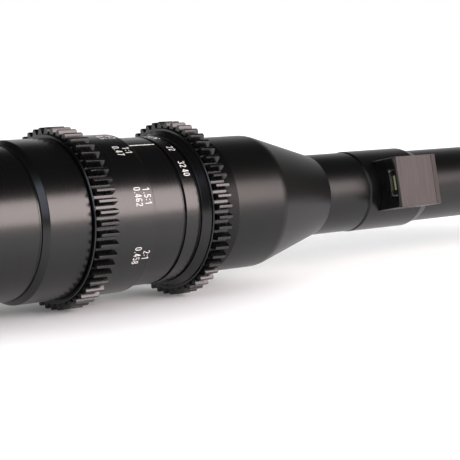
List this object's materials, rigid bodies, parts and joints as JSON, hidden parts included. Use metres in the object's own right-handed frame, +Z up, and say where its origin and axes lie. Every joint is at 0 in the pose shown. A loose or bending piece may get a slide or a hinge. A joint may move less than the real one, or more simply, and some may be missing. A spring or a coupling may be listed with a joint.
{
  "type": "macro probe cinema lens",
  "caption": "Long slim macro probe cine lens with toothed focus and iris rings, a lamp-lit tip, a power socket on the snout and a breech-lock camera mount.",
  "frame": {"origin": "centre of the camera mount's seat, on the optical axis", "axes": "+X along the optical axis towards the tip, +Z up as in the picture, -Y towards the picture's viewer side"},
  "size_m": [0.408, 0.065, 0.065],
  "materials": {
    "black_anodised": "satin black anodised, fine turned lines",
    "gear_black": "satin black anodised, milled teeth",
    "inner_black": "matt black anodised",
    "mount_steel": "turned stainless steel",
    "bright_steel": "bright steel",
    "brass": "turned brass",
    "coated_glass": "polished and coated optical glass",
    "blade_steel": "blackened spring steel",
    "grey_anodised": "fine brushed grey plate",
    "circuit_board": "solder mask",
    "white_board": "white solder mask",
    "socket_plastic": "moulded liquid crystal polymer",
    "ribbon_film": "polyimide film",
    "lamp_resin": "phosphor resin",
    "clear_acrylic": "clear moulded acrylic"
  },
  "bodies": {
    "barrel": {"lens_mount": "mount_steel", "mount_screws": "bright_steel", "mount_shim": "brass", "rear_housing": "black_anodised", "rear_barrel": "black_anodised", "main_tube": "inner_black", "rear_cell": "inner_black", "rear_lenses": "coated_glass", "rear_retainers": "inner_black", "index_ring": "black_anodised", "iris_base": "inner_black", "front_housing": "black_anodised", "field_lens": "coated_glass", "field_retainer": "inner_black", "mid_tube": "black_anodised", "power_collar": "black_anodised", "port_housing": "black_anodised", "port_screws": "bright_steel", "port_cover": "grey_anodised", "port_board": "circuit_board", "socket_shell": "bright_steel", "socket_tongue": "socket_plastic", "lamp_ribbon": "ribbon_film", "relay_tube": "inner_black", "relay_lenses": "coated_glass", "relay_spacers": "inner_black", "probe_tube": "black_anodised", "tip_cap": "black_anodised", "lamp_board": "white_board", "tip_lamps": "lamp_resin", "lamp_window": "clear_acrylic", "front_element": "coated_glass"},
    "focus": {"focus_ring": "black_anodised", "focus_gear": "gear_black", "focus_cam": "brass", "cam_screws": "bright_steel"},
    "focus_group": {"focus_carriage": "inner_black", "focus_lenses": "coated_glass", "focus_retainers": "inner_black", "follower_pins": "bright_steel"},
    "iris": {"iris_ring": "black_anodised", "iris_gear": "gear_black", "iris_link": "bright_steel", "iris_cam": "brass"},
    "blade_1": {"iris_blade_1": "blade_steel"},
    "blade_2": {"iris_blade_2": "blade_steel"},
    "blade_3": {"iris_blade_3": "blade_steel"},
    "blade_4": {"iris_blade_4": "blade_steel"},
    "blade_5": {"iris_blade_5": "blade_steel"}
  },
  "joints": [
    {"name": "focus_turn", "type": "hinge", "parent": "barrel", "child": "focus", "pos_m": [0.068, 0, 0], "axis": [1, 0, 0], "range_deg": [-96, 104]},
    {"name": "focus_travel", "type": "slide", "parent": "barrel", "child": "focus_group", "axis": [1, 0, 0], "range_m": [-0.0029, 0.00313]},
    {"name": "iris_turn", "type": "hinge", "parent": "barrel", "child": "iris", "pos_m": [0.091, 0, 0], "axis": [1, 0, 0], "range_deg": [-34, 21]},
    {"name": "blade_1_swing", "type": "hinge", "parent": "barrel", "child": "blade_1", "pos_m": [0.088, 0, -0.011], "axis": [1, 0, 0], "range_deg": [-6.75, 10.9]},
    {"name": "blade_2_swing", "type": "hinge", "parent": "barrel", "child": "blade_2", "pos_m": [0.088, 0.01046, -0.0034], "axis": [1, 0, 0], "range_deg": [-6.75, 10.9]},
    {"name": "blade_3_swing", "type": "hinge", "parent": "barrel", "child": "blade_3", "pos_m": [0.088, 0.00647, 0.0089], "axis": [1, 0, 0], "range_deg": [-6.75, 10.9]},
    {"name": "blade_4_swing", "type": "hinge", "parent": "barrel", "child": "blade_4", "pos_m": [0.088, -0.00647, 0.0089], "axis": [1, 0, 0], "range_deg": [-6.75, 10.9]},
    {"name": "blade_5_swing", "type": "hinge", "parent": "barrel", "child": "blade_5", "pos_m": [0.088, -0.01046, -0.0034], "axis": [1, 0, 0], "range_deg": [-6.75, 10.9]}
  ],
  "couplings": [
    {"joint": "focus_travel", "follows": "focus_turn", "m_per_rad": 0.00172},
    {"joint": "blade_1_swing", "follows": "iris_turn", "ratio": -0.32},
    {"joint": "blade_2_swing", "follows": "iris_turn", "ratio": -0.32},
    {"joint": "blade_3_swing", "follows": "iris_turn", "ratio": -0.32},
    {"joint": "blade_4_swing", "follows": "iris_turn", "ratio": -0.32},
    {"joint": "blade_5_swing", "follows": "iris_turn", "ratio": -0.32}
  ]
}
